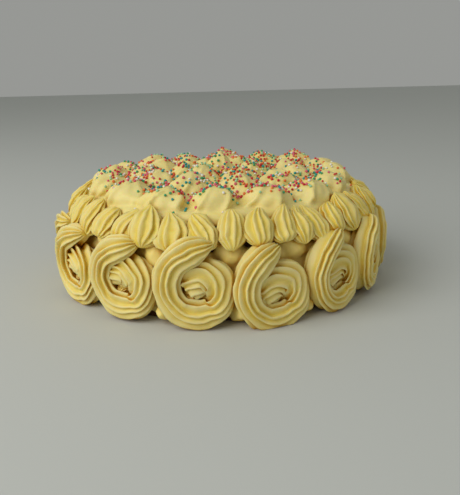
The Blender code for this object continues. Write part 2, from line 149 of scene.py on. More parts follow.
def make_nozzle_tree():
    """Sweeps a ridged star along every path, presses it flat and roughens it."""
    tree = bpy.data.node_groups.new("Star nozzle", 'GeometryNodeTree')
    given, result = add_inputs(tree, (
        ("Paths", 'NodeSocketGeometry', None),
        ("Ridges", 'NodeSocketInt', 12),
        ("Points per Ridge", 'NodeSocketInt', 6),
        ("Uneven", 'NodeSocketFloat', 0.0),
        ("Groove", 'NodeSocketFloat', 0.25),
        ("Crest", 'NodeSocketFloat', 1.2),
        ("Fullness", 'NodeSocketFloat', 1.0),
        ("Flow", 'NodeSocketFloat', 0.0006),
        ("Flow Size", 'NodeSocketFloat', 0.012),
        ("Grain", 'NodeSocketFloat', 0.00015),
        ("Grain Size", 'NodeSocketFloat', 0.0022),
        ("Floor", 'NodeSocketFloat', 0.0003),
        ("Cream", 'NodeSocketMaterial', None),
    ), (("Geometry", 'NodeSocketGeometry'),))
    spots = sum_up(tree, 'MULTIPLY', given.outputs["Ridges"], given.outputs["Points per Ridge"])
    star = put(tree, 'GeometryNodeCurvePrimitiveCircle', {"Resolution": spots, "Radius": 1.0})
    index = put(tree, 'GeometryNodeInputIndex')
    turn = sum_up(tree, 'DIVIDE', index.outputs[0], given.outputs["Points per Ridge"])
    round_share = sum_up(tree, 'DIVIDE', index.outputs[0], spots)
    for beats, start in UNEVEN_WAVES:
        angle = sum_up(tree, 'MULTIPLY_ADD', round_share, 2 * math.pi * beats, start)
        turn = sum_up(tree, 'MULTIPLY_ADD', sum_up(tree, 'SINE', angle), given.outputs["Uneven"], turn)
    wave = sum_up(tree, 'COSINE', sum_up(tree, 'MULTIPLY', turn, 2 * math.pi))
    lifted = sum_up(tree, 'MULTIPLY_ADD', wave, HALF_WAVE, 0.5)
    crest = sum_up(tree, 'POWER', lifted, given.outputs["Crest"])
    valley = sum_up(tree, 'SUBTRACT', 1.0, crest)
    shrink = sum_up(tree, 'SUBTRACT', 1.0, sum_up(tree, 'MULTIPLY', valley, given.outputs["Groove"]))
    spot = put(tree, 'GeometryNodeInputPosition')
    moved = put(tree, 'ShaderNodeVectorMath', {0: spot.outputs[0], "Scale": shrink}, operation='SCALE')
    section = put(tree, 'GeometryNodeSetPosition', {"Geometry": star.outputs[0],
                  "Position": moved.outputs[0]})
    # The depth in the groove is stored as valley, and the cream colour paints shade into the grooves from
    # it.
    grooved = put(tree, 'GeometryNodeStoreNamedAttribute', {"Geometry": section.outputs[0],
                  "Name": "valley", "Value": valley}, data_type='FLOAT', domain='POINT')

    line = put(tree, 'GeometryNodeMeshToCurve', {"Mesh": given.outputs["Paths"]})
    tilted = put(tree, 'GeometryNodeSetCurveTilt', {"Curve": line.outputs[0],
                 "Tilt": named(tree, "turn")})
    middle = put(tree, 'GeometryNodeInputPosition')
    cored = put(tree, 'GeometryNodeStoreNamedAttribute', {"Geometry": tilted.outputs[0], "Name": "core",
                "Value": middle.outputs[0]}, data_type='FLOAT_VECTOR', domain='POINT')
    swept = put(tree, 'GeometryNodeCurveToMesh', {"Curve": cored.outputs[0],
                "Profile Curve": grooved.outputs[0], "Scale": named(tree, "half_width"),
                "Fill Caps": True})

    here = put(tree, 'GeometryNodeInputPosition')
    away = put(tree, 'ShaderNodeVectorMath', {0: here.outputs[0], 1: named(tree, "core", 'FLOAT_VECTOR')},
               operation='SUBTRACT')
    outward = named(tree, "outward", 'FLOAT_VECTOR')
    depth = put(tree, 'ShaderNodeVectorMath', {0: away.outputs[0], 1: outward}, operation='DOT_PRODUCT')
    share = sum_up(tree, 'DIVIDE', depth.outputs["Value"], named(tree, "half_width"))
    full = sum_up(tree, 'POWER', sum_up(tree, 'ABSOLUTE', share), given.outputs["Fullness"])
    pressed = sum_up(tree, 'MULTIPLY', sum_up(tree, 'MULTIPLY', full, sum_up(tree, 'SIGN', share)),
                     named(tree, "half_depth"))
    change = sum_up(tree, 'SUBTRACT', pressed, depth.outputs["Value"])
    press = put(tree, 'ShaderNodeVectorMath', {0: outward, "Scale": change}, operation='SCALE')
    flattened = put(tree, 'GeometryNodeSetPosition', {"Geometry": swept.outputs[0],
                    "Offset": press.outputs[0]})
    shape = flattened.outputs[0]
    for amount, size, detail in (("Flow", "Flow Size", 1.0), ("Grain", "Grain Size", 2.0)):
        place = put(tree, 'GeometryNodeInputPosition')
        per_metre = sum_up(tree, 'DIVIDE', 1.0, given.outputs[size])
        cloud = put(tree, 'ShaderNodeTexNoise', {"Vector": place.outputs[0], "Scale": per_metre,
                    "Detail": detail})
        centred = put(tree, 'ShaderNodeVectorMath', {0: cloud.outputs["Color"], 1: (0.5, 0.5, 0.5)},
                      operation='SUBTRACT')
        twice = sum_up(tree, 'MULTIPLY', given.outputs[amount], 2.0)
        shift = put(tree, 'ShaderNodeVectorMath', {0: centred.outputs[0], "Scale": twice}, operation='SCALE')
        roughened = put(tree, 'GeometryNodeSetPosition', {"Geometry": shape, "Offset": shift.outputs[0]})
        shape = roughened.outputs[0]
    final = put(tree, 'GeometryNodeInputPosition')
    parts = put(tree, 'ShaderNodeSeparateXYZ', {0: final.outputs[0]})
    level = sum_up(tree, 'MAXIMUM', parts.outputs[2], given.outputs["Floor"])
    laid = put(tree, 'ShaderNodeCombineXYZ', {0: parts.outputs[0], 1: parts.outputs[1], 2: level})
    resting = put(tree, 'GeometryNodeSetPosition', {"Geometry": shape, "Position": laid.outputs[0]})
    whole = put(tree, 'GeometryNodeRealizeInstances', {"Geometry": resting.outputs[0]})
    smooth = put(tree, 'GeometryNodeSetShadeSmooth', {"Geometry": whole.outputs[0]})
    dressed = put(tree, 'GeometryNodeSetMaterial', {"Geometry": smooth.outputs[0],
                  "Material": given.outputs["Cream"]})
    tree.links.new(dressed.outputs[0], result.inputs[0])
    return tree


nozzle_tree = make_nozzle_tree()
print("nozzle tree has", len(nozzle_tree.nodes), "nodes")

# %% [markdown]
# A path could be a curve, but a curve point carries only a radius and a tilt. Here a path is
# a mesh of points and edges, whose points also say how wide and how deep the strand is there
# and which way its depth lies. `draw_paths` makes one such mesh from many paths, and
# `finish_mesh` runs a tree on an object. Only the mesh that comes out is kept, by
# `keep_result`, because a finished piece carries no live modifier.

# %% Helpers for paths and finished meshes
PATH_VALUES = (
    ("half_width", 'FLOAT', "value"),
    ("half_depth", 'FLOAT', "value"),
    ("turn", 'FLOAT', "value"),
    ("outward", 'FLOAT_VECTOR', "vector"),
)


def show(name, mesh):
    """A new object in the scene that holds a mesh."""
    item = bpy.data.objects.new(name, mesh)
    bpy.context.scene.collection.objects.link(item)
    return item


def show_shell(name, shell):
    """A new object in the scene with the faces built in a bmesh."""
    mesh = bpy.data.meshes.new(name)
    shell.to_mesh(mesh)
    shell.free()
    return show(name, mesh)


def keep_result(name, host):
    """Keeps what an object's modifiers make as a plain mesh, in place of the object."""
    graph = bpy.context.evaluated_depsgraph_get()
    mesh = bpy.data.meshes.new_from_object(host.evaluated_get(graph))
    mesh.name = name
    bpy.data.objects.remove(host, do_unlink=True)
    print(name, "has", len(mesh.polygons), "faces")
    return show(name, mesh)


def draw_paths(name, paths):
    """Points and edges; each path is a list of (place, half width, half depth, turn, outward)."""
    mesh = bpy.data.meshes.new(name)
    points = [point for path in paths for point in path]
    edges = []
    start = 0
    for path in paths:
        edges += [(start + step, start + step + 1) for step in range(len(path) - 1)]
        start += len(path)
    mesh.from_pydata([tuple(point[0]) for point in points], edges, [])
    for number, (key, kind, field) in enumerate(PATH_VALUES):
        store = mesh.attributes.new(key, kind, 'POINT')
        for spot, point in zip(store.data, points):
            setattr(spot, field, point[number + 1])
    return show(name, mesh)


def finish_mesh(name, host, tree, values):
    """Runs a tree on an object, keeps the mesh as a new piece and removes the object."""
    step = host.modifiers.new(tree.name, 'NODES')
    step.node_group = tree
    for item in tree.interface.items_tree:
        if item.item_type == 'SOCKET' and item.in_out == 'INPUT' and item.name in values:
            step[item.identifier] = values[item.name]
    return keep_result(name, host)


print("a path's points carry", [key for key, _, _ in PATH_VALUES])

# %% [markdown]
# Soft cream that is pushed against other cream flows into it, which a union of solids never
# does. `melt_together` lays one skin of small squares over several pieces with a Remesh
# modifier and softens the creases with a Smooth one. The skin forgets how deep a groove was,
# so its painted shade follows only how shut-in a place is. `settle` then tells the frame which
# solids a piece stands for.

# %% Helpers for melting and settling
SOFTENING = 0.5


def join_copies(name, pieces):
    """One object with copies of several pieces' meshes."""
    shell = bmesh.new()
    for piece in pieces:
        shell.from_mesh(piece.data)
    return show_shell(name, shell)


def melt_together(name, pieces, grain, rounds, material):
    """One skin over several overlapping pieces, with the creases between them softened."""
    host = join_copies(name, pieces)
    skin = host.modifiers.new("skin", 'REMESH')
    skin.mode = 'VOXEL'
    skin.voxel_size = grain
    soften = host.modifiers.new("soften", 'SMOOTH')
    soften.factor = SOFTENING
    soften.iterations = rounds
    skinned = keep_result(name, host)
    for piece in pieces:
        bpy.data.objects.remove(piece, do_unlink=True)
    skinned.data.shade_smooth()
    skinned.data.materials.clear()
    skinned.data.materials.append(material)
    return skinned


def settle(piece, slot, *nodes):
    """Tells the frame what the piece rides on and hides the solids it stands for; slot is not used."""
    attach(piece, "root")
    if nodes:
        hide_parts(*nodes)


print("a skin is softened by", SOFTENING, "in each round")

# %% [markdown]
# The cream's colour carries painted shade. Its crests keep the pale cream colour, its grooves
# are painted a darker gold as shade, and deep hollows are painted orange for the shade and the
# light that bounces about in them. Each material could mix that by itself, but a group holds
# the mixing once for every cream piece. It takes the groove depth that the nozzle tree stored,
# and how shut-in the point is, which the material finds with an Ambient Occlusion node.

# %% Shader group: cream colour
# The share of open sky below which cream takes the painted hollow shade, and above which it doesn't
SHUT_IN, WIDE_OPEN = 0.10, 0.65
PATCH_SCALE = 55.0
SKIN_SCALE = 900.0


def make_cream_group():
    """Colour with painted groove and hollow shade, roughness and height of piped cream."""
    tree = bpy.data.node_groups.new("Cream colour", 'ShaderNodeTree')
    given, result = add_inputs(tree, (
        ("Crest", 'NodeSocketColor', (0.86, 0.74, 0.325, 1)),
        ("Groove", 'NodeSocketColor', (0.80, 0.60, 0.045, 1)),
        ("Hollow", 'NodeSocketColor', (0.64, 0.33, 0.012, 1)),
        ("Groove Amount", 'NodeSocketFloat', 0.50),
        ("Shade Amount", 'NodeSocketFloat', 0.60),
        ("Openness", 'NodeSocketFloat', 1.0),
    ), (("Colour", 'NodeSocketColor'), ("Roughness", 'NodeSocketFloat'), ("Height", 'NodeSocketFloat')))
    depth = put(tree, 'ShaderNodeAttribute', attribute_name="valley")
    place = put(tree, 'ShaderNodeTexCoord')
    broad = put(tree, 'ShaderNodeTexNoise', {"Vector": place.outputs["Object"], "Scale": PATCH_SCALE,
                "Detail": 2.0})
    # Painted shade: deep grooves and shut-in places are pulled towards the darker groove colour.
    amount = sum_up(tree, 'MULTIPLY', depth.outputs["Fac"], given.outputs["Groove Amount"])
    uneven = sum_up(tree, 'MULTIPLY_ADD', broad.outputs["Fac"], 0.5, -0.25)
    shade = sum_up(tree, 'MULTIPLY', sum_up(tree, 'SUBTRACT', 1.0, given.outputs["Openness"]),
                   given.outputs["Shade Amount"])
    amount = sum_up(tree, 'ADD', amount, shade)
    fold = put(tree, 'ShaderNodeMath', {0: amount, 1: uneven}, operation='ADD', use_clamp=True)
    surface = put(tree, 'ShaderNodeMix', {0: fold.outputs[0], 6: given.outputs["Crest"],
                  7: given.outputs["Groove"]}, data_type='RGBA')
    # Painted shade and bounced light: shut-in places take the orange hollow colour.
    shut = put(tree, 'ShaderNodeMapRange', {0: given.outputs["Openness"], 1: SHUT_IN, 2: WIDE_OPEN, 3: 1.0,
               4: 0.0}, interpolation_type='SMOOTHSTEP')
    colour = put(tree, 'ShaderNodeMix', {0: shut.outputs[0], 6: surface.outputs[2],
                 7: given.outputs["Hollow"]}, data_type='RGBA')
    fine = put(tree, 'ShaderNodeTexNoise', {"Vector": place.outputs["Object"], "Scale": SKIN_SCALE,
               "Detail": 3.0})
    rough = sum_up(tree, 'MULTIPLY_ADD', fine.outputs["Fac"], 0.16, 0.40)
    tree.links.new(colour.outputs[2], result.inputs["Colour"])
    tree.links.new(rough, result.inputs["Roughness"])
    tree.links.new(fine.outputs["Fac"], result.inputs["Height"])
    return tree


cream_group = make_cream_group()
sockets = cream_group.interface.items_tree
print("cream group gives", [item.name for item in sockets if item.in_out == 'OUTPUT'])

# %% [markdown]
# The material itself holds the Principled shader. Light goes a few millimetres into cream
# and comes out warmer, which softens the ridges, so subsurface scattering carries part of
# the colour. The values that are the same all over are set straight on the shader. The
# rosettes, the kisses and the top each have their own tint of it, the kisses with more
# painted groove shade, and the coat's paler colours are painted light that lifts the shade
# it sits in.

# %% Material: piped cream
# How far the Ambient Occlusion node looks for cream that shuts a point in, which sets where hollow shade is
# painted
HOLLOW_REACH = 0.0075


def make_cream_material(name, **colours):
    """Piped cream, with its own colours for the crest and for the painted groove and hollow shade."""
    material = bpy.data.materials.new(name)
    material.use_nodes = True
    tree = material.node_tree
    shader = tree.nodes["Principled BSDF"]
    open_sky = put(tree, 'ShaderNodeAmbientOcclusion', {"Distance": HOLLOW_REACH}, samples=8)
    look = put(tree, 'ShaderNodeGroup', node_tree=cream_group)
    tree.links.new(open_sky.outputs["AO"], look.inputs["Openness"])
    for socket, value in colours.items():
        look.inputs[socket.replace("_", " ")].default_value = value
    bump = put(tree, 'ShaderNodeBump', {"Height": look.outputs["Height"], "Strength": 0.35,
               "Distance": 0.0003})
    tree.links.new(look.outputs["Colour"], shader.inputs["Base Color"])
    tree.links.new(look.outputs["Roughness"], shader.inputs["Roughness"])
    tree.links.new(bump.outputs[0], shader.inputs["Normal"])
    shader.inputs["Subsurface Weight"].default_value = 0.25
    shader.inputs["Subsurface Radius"].default_value = (1.0, 0.62, 0.20)
    shader.inputs["Subsurface Scale"].default_value = 0.0025
    shader.inputs["Specular IOR Level"].default_value = 0.40
    shader.inputs["IOR"].default_value = 1.45
    return material


cream = make_cream_material("piped_cream")
soft_cream = make_cream_material("soft_cream", Crest=(0.885, 0.755, 0.295, 1))
# The kisses take more painted shade in their grooves than the other cream.
kiss_cream = make_cream_material("kiss_cream", Crest=(0.85, 0.71, 0.27, 1), Groove_Amount=0.65)
# The coat's paler crest and hollow colours are painted light that lifts the shade the kisses and rosettes
# cast on it.
coat_cream_painted_light = make_cream_material("coat_cream_painted_light", Crest=(0.95, 0.76, 0.26, 1), Hollow=(0.80, 0.46, 0.05, 1))
print("made materials", cream.name, soft_cream.name, kiss_cream.name, coat_cream_painted_light.name)

# %% [markdown]
# Sixteen rosettes go round the side. Each is one strand that starts at a pivot and winds
# clockwise: it is pressed on thickly at first, and then it swings out, stands proud on the
# left and runs out to a tail over the top. An even spiral would be the simplest path, but a
# hand slows down and speeds up, so the strand is given at fourteen places along its way and a
# spline through them makes the rest. Near its start the strand also rolls about itself, which
# draws its ridges inwards and closes them on the pivot, and three short fans of ridges fill
# the cream beneath. Six rosettes face the camera, each with its own place, turn and size,
# and the others are drawn by a seeded rule.

# %% Rosettes: sizes
SPONGE_RADIUS = 0.1047
SIDE_RADIUS = SPONGE_RADIUS + 0.0008
ROSETTE_COUNT = 16
# How far from the cake's axis the strand's flat sizes are wrapped round it
ROSETTE_SCALE_RADIUS = 0.1200
# The six at the front: azimuth in degrees, height of the pivot in mm, turn in degrees, size,
# how far in mm the strand's start is moved across and up, and how wide its outer turn is
FRONT_ROSETTES = (
    (-55.0, 19.0, 0, 0.96, -9, 1, 0.90),
    (-30.1, 21.0, -3, 0.93, -5, 5, 1.0),
    (-5.1, 21.0, 0, 1.00, 0, 0, 1.0),
    (19.4, 17.8, 15, 0.98, -4, 0, 1.0),
    (42.0, 20.5, 10, 0.96, -4, 1, 0.76),
    (63.0, 22.0, 6, 0.94, 0, 0, 0.78),
)
# The azimuth in degrees from which the seeded ones are spaced out
FRONT_END = 67.0
ROSETTE_SEED = 7
# The strand, in mm: across and up from the pivot, half width, and how far it stands out
STRAND = (
    (-9.6, 7.2, 10.8, 16.5),
    (-2.2, 12.8, 12.2, 17.0),
    (6.2, 10.8, 12.2, 17.0),
    (9.4, 1.5, 9.6, 16.5),
    (6.3, -7.3, 9.9, 17.0),
    (-1.0, -10.8, 10.6, 17.5),
    (-8.8, -10.8, 11.0, 18.5),
    (-16.4, -7.6, 10.4, 20.0),
    (-22.4, 1.0, 9.6, 21.5),
    (-23.6, 12.4, 9.4, 22.5),
    (-18.4, 23.4, 9.8, 22.5),
    (-8.8, 30.0, 10.0, 21.0),
    (-1.4, 32.6, 7.4, 17.5),
    (4.0, 34.0, 3.0, 13.0),
)
# Over how many of those places the start's own move dies away, and how much cream lies behind it
START_RUN = 2.0
START_BACK = 0.0022
# How many times as far a rosette stands out at the far left and at the far right
LEFT_PROUD, RIGHT_PROUD = 1.16, 1.12
# After how many places the outer turn takes its own width, and how many more that takes
OUTER_FROM, OUTER_RUN = 5.5, 2.0
# The roll at the start in radians, inwards where negative, and over how many places it dies away
START_ROLL, ROLL_RUN = -2.5, 4.5
# The strand's thickness, as a share of how far it stands out
STRAND_THICK = 0.82
STRAND_RIDGES = 11
STRAND_STEPS = 120
# The cream under the pivot and under the strand's start: across and up from the pivot in mm,
# half width and reach in metres
FANS = (
    (0, 0, 0.0095, 0.0118),
    (-8, 3, 0.0110, 0.0130),
    (-9, -3, 0.0090, 0.0140),
)
FAN_RINGS = 14


def rosette_looks():
    """Azimuth, height of the pivot, turn, size, start and outer width of each rosette."""
    draw = random.Random(ROSETTE_SEED)
    looks = list(FRONT_ROSETTES)
    others = ROSETTE_COUNT - len(FRONT_ROSETTES)
    pitch = (360 + FRONT_ROSETTES[0][0] - FRONT_END) / (others + 1)
    for index in range(others):
        azimuth = FRONT_END + pitch * (index + 1) + draw.uniform(-0.6, 0.6)
        look = (azimuth, draw.uniform(19.5, 22.0), draw.uniform(-6, 18), draw.uniform(0.85, 0.91))
        looks.append((*look, draw.uniform(-3, 1), draw.uniform(-1, 5), 1.0))
    return looks


def around(azimuth, radius, height):
    """The point at an azimuth and a distance from the cake's axis."""
    return Vector((radius * math.sin(azimuth), -radius * math.cos(azimuth), height))


def spline(rows, at):
    """The values part of the way through a table, on a smooth curve through its rows."""
    last = len(rows) - 1
    row = min(last - 1, int(at))
    share = at - row
    square, cube = share ** 2, share ** 3
    values = []
    for a, b, c, d in zip(rows[max(0, row - 1)], rows[row], rows[row + 1], rows[min(last, row + 2)]):
        rise, fall = (c - a) / 2, (d - b) / 2
        value = b * (2 * cube - 3 * square + 1) + c * (3 * square - 2 * cube)
        values.append(value + rise * (cube - 2 * square + share) + fall * (cube - square))
    return values


print("rosettes:", len(rosette_looks()), "and half way along the strand:", spline(STRAND, 6.5))

# %% Rosettes: the path of one strand
def proud(azimuth):
    """How many times as far a rosette stands out here as at the front."""
    across = math.sin(math.radians(azimuth))
    return 1 + (RIGHT_PROUD - 1) * max(0.0, across) + (LEFT_PROUD - 1) * max(0.0, -across)


def rosette_path(azimuth, middle, turn, size, start_across, start_up, outer_width, ridge_turn):
    """The strand's middle line, bent round the side of the cake."""
    path = []
    for step in range(STRAND_STEPS + 1):
        at = (len(STRAND) - 1) * step / STRAND_STEPS
        across, up, width, depth = spline(STRAND, at)
        near = max(0.0, 1 - at / START_RUN)
        flat = Vector((across + start_across * near, up + start_up * near))
        flat = flat @ Matrix.Rotation(-math.radians(turn), 2) * size / 1000
        width, depth = width * size / 1000, depth * size / 1000
        width *= 1 + (outer_width - 1) * min(1.0, max(0.0, (at - OUTER_FROM) / OUTER_RUN))
        roll = START_ROLL * max(0.0, 1 - at / ROLL_RUN)
        depth *= proud(azimuth)
        side = math.radians(azimuth) + flat.x / ROSETTE_SCALE_RADIUS
        half_depth = depth * STRAND_THICK / 2
        place = around(side, SIDE_RADIUS + depth - half_depth, middle / 1000 + flat.y)
        path.append((place, width, half_depth, ridge_turn + roll, around(side, 1.0, 0.0)))
    back = path[0][0] - (path[1][0] - path[0][0]).normalized() * START_BACK
    return [(back, *path[0][1:])] + path


def fan_path(look, across, up, half_width, reach, ridge_turn):
    """A low fan of ridges that points outwards, at a place given from the pivot in mm."""
    azimuth, middle, turn, size = look[:4]
    reach *= proud(azimuth)
    flat = Vector((across, up)) @ Matrix.Rotation(-math.radians(turn), 2) * size / 1000
    side = math.radians(azimuth) + flat.x / ROSETTE_SCALE_RADIUS
    path = []
    for ring in range(FAN_RINGS + 1):
        share = ring / FAN_RINGS
        width = half_width * size * max(0.03, math.cos(math.pi / 2 * share) ** 0.5)
        place = around(side, SIDE_RADIUS + reach * size * share, middle / 1000 + flat.y)
        path.append((place, width, width, ridge_turn, (0, 0, 1)))
    return path


for index, look in enumerate(rosette_looks()):
    name = f"rosette_{index + 1:02d}"
    paths = [fan_path(look, *fan, 0.1 * index) for fan in FANS]
    host = draw_paths(name, [rosette_path(*look, 0.1 * index)] + paths)
    piece = finish_mesh(name, host, nozzle_tree, {
        "Ridges": STRAND_RIDGES, "Points per Ridge": 8, "Uneven": 0.09, "Groove": 0.40,
        "Crest": 1.15, "Fullness": 0.64, "Flow": 0.0012, "Flow Size": 0.012, "Grain": 0.00025,
        "Grain Size": 0.0030, "Cream": cream})
    settle(piece, "cream", f"side_rosette_{index + 1:02d}")

# %% [markdown]
# The kisses on the shoulder are short strands: the nozzle presses out a round foot and is
# drawn up and inwards to a blunt point. One kiss could be made and copied round, but no hand
# makes two alike, so each draws its own length, lean, twist and fullness. The width along the
# path gives the teardrop.

# %% Kisses: sizes and places
KISS_COUNT = 40
FRONT_KISS_AZIMUTHS = (-26.2, -14.7, -4.9, 3.9, 11.8, 20.3, 27.7, 34.4, 41.8)
# Distance from the cake's axis and height, of the foot and of the tip
KISS_FOOT = (0.1152, 0.0500)
KISS_TIP = (0.1005, 0.0740)
# How far from the axis a kiss is widest, which settles how much room it has
KISS_BULGE_RADIUS = 0.1100
KISS_HALF_WIDTH = 0.0096
# How deep a kiss is, as a share of its width
KISS_DEPTH = 0.58
KISS_SEED = 11
KISS_RINGS = 26
# The gap left beside each kiss, and under the dome
GAP = 0.0003


def kiss_layout():
    """The azimuth, length and half width of each kiss, each filling the space it has."""
    draw = random.Random(KISS_SEED)
    first, last = FRONT_KISS_AZIMUTHS[0], FRONT_KISS_AZIMUTHS[-1]
    others = KISS_COUNT - len(FRONT_KISS_AZIMUTHS)
    pitch = (360 + first - last) / (others + 1)
    azimuths = list(FRONT_KISS_AZIMUTHS)
    azimuths += [last + pitch * (index + 1) + draw.uniform(-0.7, 0.7) for index in range(others)]
    azimuths = [math.radians(azimuth) for azimuth in azimuths]
    borders = [(azimuth + before) / 2 for before, azimuth in zip(azimuths, azimuths[1:])]
    borders.insert(0, (azimuths[-1] - 2 * math.pi + azimuths[0]) / 2)
    borders.append(borders[0] + 2 * math.pi)
    layout = []
    for low, high in zip(borders, borders[1:]):
        room = KISS_BULGE_RADIUS * math.sin((high - low) / 2) - GAP
        layout.append(((low + high) / 2, draw.uniform(0.95, 1.05), min(KISS_HALF_WIDTH, room)))
    return layout


print("widest kiss:", max(width for _, _, width in kiss_layout()))

# %% Kisses on the shoulder
def teardrop(share, bulge, blunt):
    """A kiss's fullness: a round foot, then a run to the tip that is fuller the blunter it is."""
    if share < bulge:
        return math.sqrt(max(0.0, 1 - ((bulge - share) / bulge) ** 2))
    rest = (share - bulge) / (1 - bulge)
    return max(0.02, math.cos(math.pi / 2 * rest) ** blunt)


def kiss_path(azimuth, scale, half_width, draw):
    """A kiss's middle line, from its foot up and inwards to its tip."""
    foot = Vector(KISS_FOOT) + Vector((draw.uniform(-0.0012, 0.0012), draw.uniform(-0.0015, 0.0025)))
    run = (Vector(KISS_TIP) + Vector((0, draw.uniform(-0.0045, 0.0000))) - foot) * scale
    lean = draw.uniform(-0.09, 0.09)
    turn = draw.uniform(0, 1)
    twist = draw.uniform(-0.9, 0.9)
    bulge = draw.uniform(0.34, 0.50)
    blunt = draw.uniform(0.50, 0.85)
    wide = draw.uniform(1.24, 1.42)
    out = Vector((run.y, -run.x)).normalized()
    path = []
    for ring in range(KISS_RINGS + 1):
        share = (1 - math.cos(math.pi * ring / KISS_RINGS)) / 2
        place = foot + run * share
        side = azimuth + lean * share * share
        width = max(0.0002, half_width * wide * teardrop(share, bulge, blunt))
        path.append((around(side, place.x, place.y), width, width * KISS_DEPTH,
                     turn + twist * share, around(side, out.x, out.y)))
    return path


draw = random.Random(KISS_SEED)
paths = [kiss_path(*kiss, draw) for kiss in kiss_layout()]
kisses = finish_mesh("shoulder_kisses", draw_paths("shoulder_kisses", paths), nozzle_tree, {
    "Ridges": 12, "Points per Ridge": 7, "Uneven": 0.07, "Groove": 0.28, "Crest": 1.3,
    "Fullness": 0.85, "Flow": 0.0022, "Flow Size": 0.011, "Grain": 0.0005, "Grain Size": 0.0028,
    "Cream": kiss_cream})
settle(kisses, "cream", *[f"shoulder_kiss_{index + 1:02d}" for index in range(KISS_COUNT)])

# %% [markdown]
# The top is a low dome of cream under three rings of large soft mounds and one tall one in
# the middle. The dome could be a scaled sphere, but the real one was spread with a knife, so
# it is a disc of rings whose height follows a profile and a slow noise.

# %% Dome
SPONGE_HEIGHT = 0.0620
# Distance from the cake's axis and height, from the rim inwards
DOME_PROFILE = ((0.1035, SPONGE_HEIGHT + GAP), (0.1005, 0.0690), (0.0900, 0.0715), (0.0550, 0.0732))
DOME_TOP_Z = 0.0740
DOME_SIDES = 120
DOME_RINGS = 40
# How deep the knife's marks are, how many there are in a metre, and over how many rings from
# the rim they set in
KNIFE_MARKS = 0.0012
KNIFE_SCALE = 60
KNIFE_RINGS = 4


def dome_height(radius):
    """How high the bare dome is at a distance from the cake's axis."""
    line = list(DOME_PROFILE) + [(0.0, DOME_TOP_Z)]
    for (outer, low), (inner, high) in zip(line, line[1:]):
        if inner <= radius <= outer:
            return low + (high - low) * (outer - radius) / (outer - inner)
    return DOME_PROFILE[0][1]


def close_rings(name, rings, low, high, material):
    """A closed mesh through rings of points, with a point at each end."""
    shell = bmesh.new()
    rows = [[shell.verts.new(point) for point in ring] for ring in rings]
    count = len(rings[0])
    for lower, upper in zip(rows, rows[1:]):
        for side in range(count):
            after = (side + 1) % count
            shell.faces.new((lower[side], lower[after], upper[after], upper[side]))
    for point, row in ((low, rows[0]), (high, rows[-1])):
        end = shell.verts.new(point)
        for side in range(count):
            shell.faces.new((row[side], row[(side + 1) % count], end))
    bmesh.ops.recalc_face_normals(shell, faces=shell.faces)
    piece = show_shell(name, shell)
    piece.data.shade_smooth()
    piece.data.materials.append(material)
    print(name, "has", len(piece.data.polygons), "faces")
    return piece


def make_dome():
    """The spread layer of cream that the mounds stand on."""
    rings = []
    for ring in range(DOME_RINGS):
        radius = DOME_PROFILE[0][0] * (1 - ring / DOME_RINGS) ** 0.9
        row = []
        for side in range(DOME_SIDES):
            azimuth = 2 * math.pi * side / DOME_SIDES
            place = around(azimuth, radius, dome_height(radius))
            mark = noise.noise(place * KNIFE_SCALE) * min(1.0, ring / KNIFE_RINGS)
            place.z += KNIFE_MARKS * mark
            row.append(place)
        rings.append(row)
    floor = around(0.0, 0.0, DOME_PROFILE[0][1])
    return close_rings("top_dome", rings, floor, around(0.0, 0.0, DOME_TOP_Z), cream)


dome = make_dome()

# %% [markdown]
# The mounds on the dome are swirls too, but they have sunk and run together until only a few
# folds are left. Each is a short upright strand with seven shallow, uneven ridges. Loose cones
# would meet in sharp creases, so the dome and all the mounds are melted into one skin.

# %% Mounds on the dome
# For each ring: distance from the axis, how many, half width, height, and the first azimuth
TOP_RINGS = (
    (0.0805, 16, 0.0175, 0.0120, -2.0),
    (0.0540, 11, 0.0185, 0.0125, 12.0),
    (0.0250, 6, 0.0160, 0.0130, -30.0),
)
TOP_MIDDLE_WIDTH = 0.0135
TOP_MIDDLE_HEIGHT = 0.0225
# The outer mounds are moved out by this much, as far as their feet stay on the dome
TOP_SHIFT = 0.002
TOP_LIMIT_RADIUS = 0.1020
# How much of a mound's height again is sunk in the dome
TOP_ROOT = 0.30
TOP_SEED = 41
MOUND_RINGS = 22
MOUND_LEAN = 0.0025
MOUND_TWIST = 0.7
TOP_SKIN = 0.0011
TOP_ROUNDS = 2


def mound_path(azimuth, radius, base, half_width, height, turn):
    """A mound's middle line, from inside the dome up to its tip."""
    path = []
    for ring in range(MOUND_RINGS + 1):
        share = ring / MOUND_RINGS * (1 + TOP_ROOT) - TOP_ROOT
        rise = max(0.0, share)
        width = half_width * max(0.03, math.cos(math.pi / 2 * rise) ** 0.9)
        lean = MOUND_LEAN * rise * rise
        place = around(azimuth, radius - lean, base + height * share)
        path.append((place, width, width, turn + MOUND_TWIST * rise, (0, 0, 1)))
    return path


def mound_paths():
    """Every mound of the top, in rings round the middle one."""
    draw = random.Random(TOP_SEED)
    paths = []
    for ring_radius, count, half_width, height, first in TOP_RINGS:
        for index in range(count):
            azimuth = math.radians(first + 360 * index / count + draw.uniform(-1.5, 1.5))
            radius = ring_radius + draw.uniform(-0.0012, 0.0006)
            width = half_width * draw.uniform(0.96, 1.18)
            if ring_radius == TOP_RINGS[0][0]:
                radius = min(radius + TOP_SHIFT, TOP_LIMIT_RADIUS - width)
            tall = height * draw.uniform(0.86, 1.22)
            turn = draw.uniform(0, 1)
            paths.append(mound_path(azimuth, radius, dome_height(radius), width, tall, turn))
    paths.append(mound_path(0.0, 0.0, DOME_TOP_Z, TOP_MIDDLE_WIDTH, TOP_MIDDLE_HEIGHT, 0.2))
    return paths


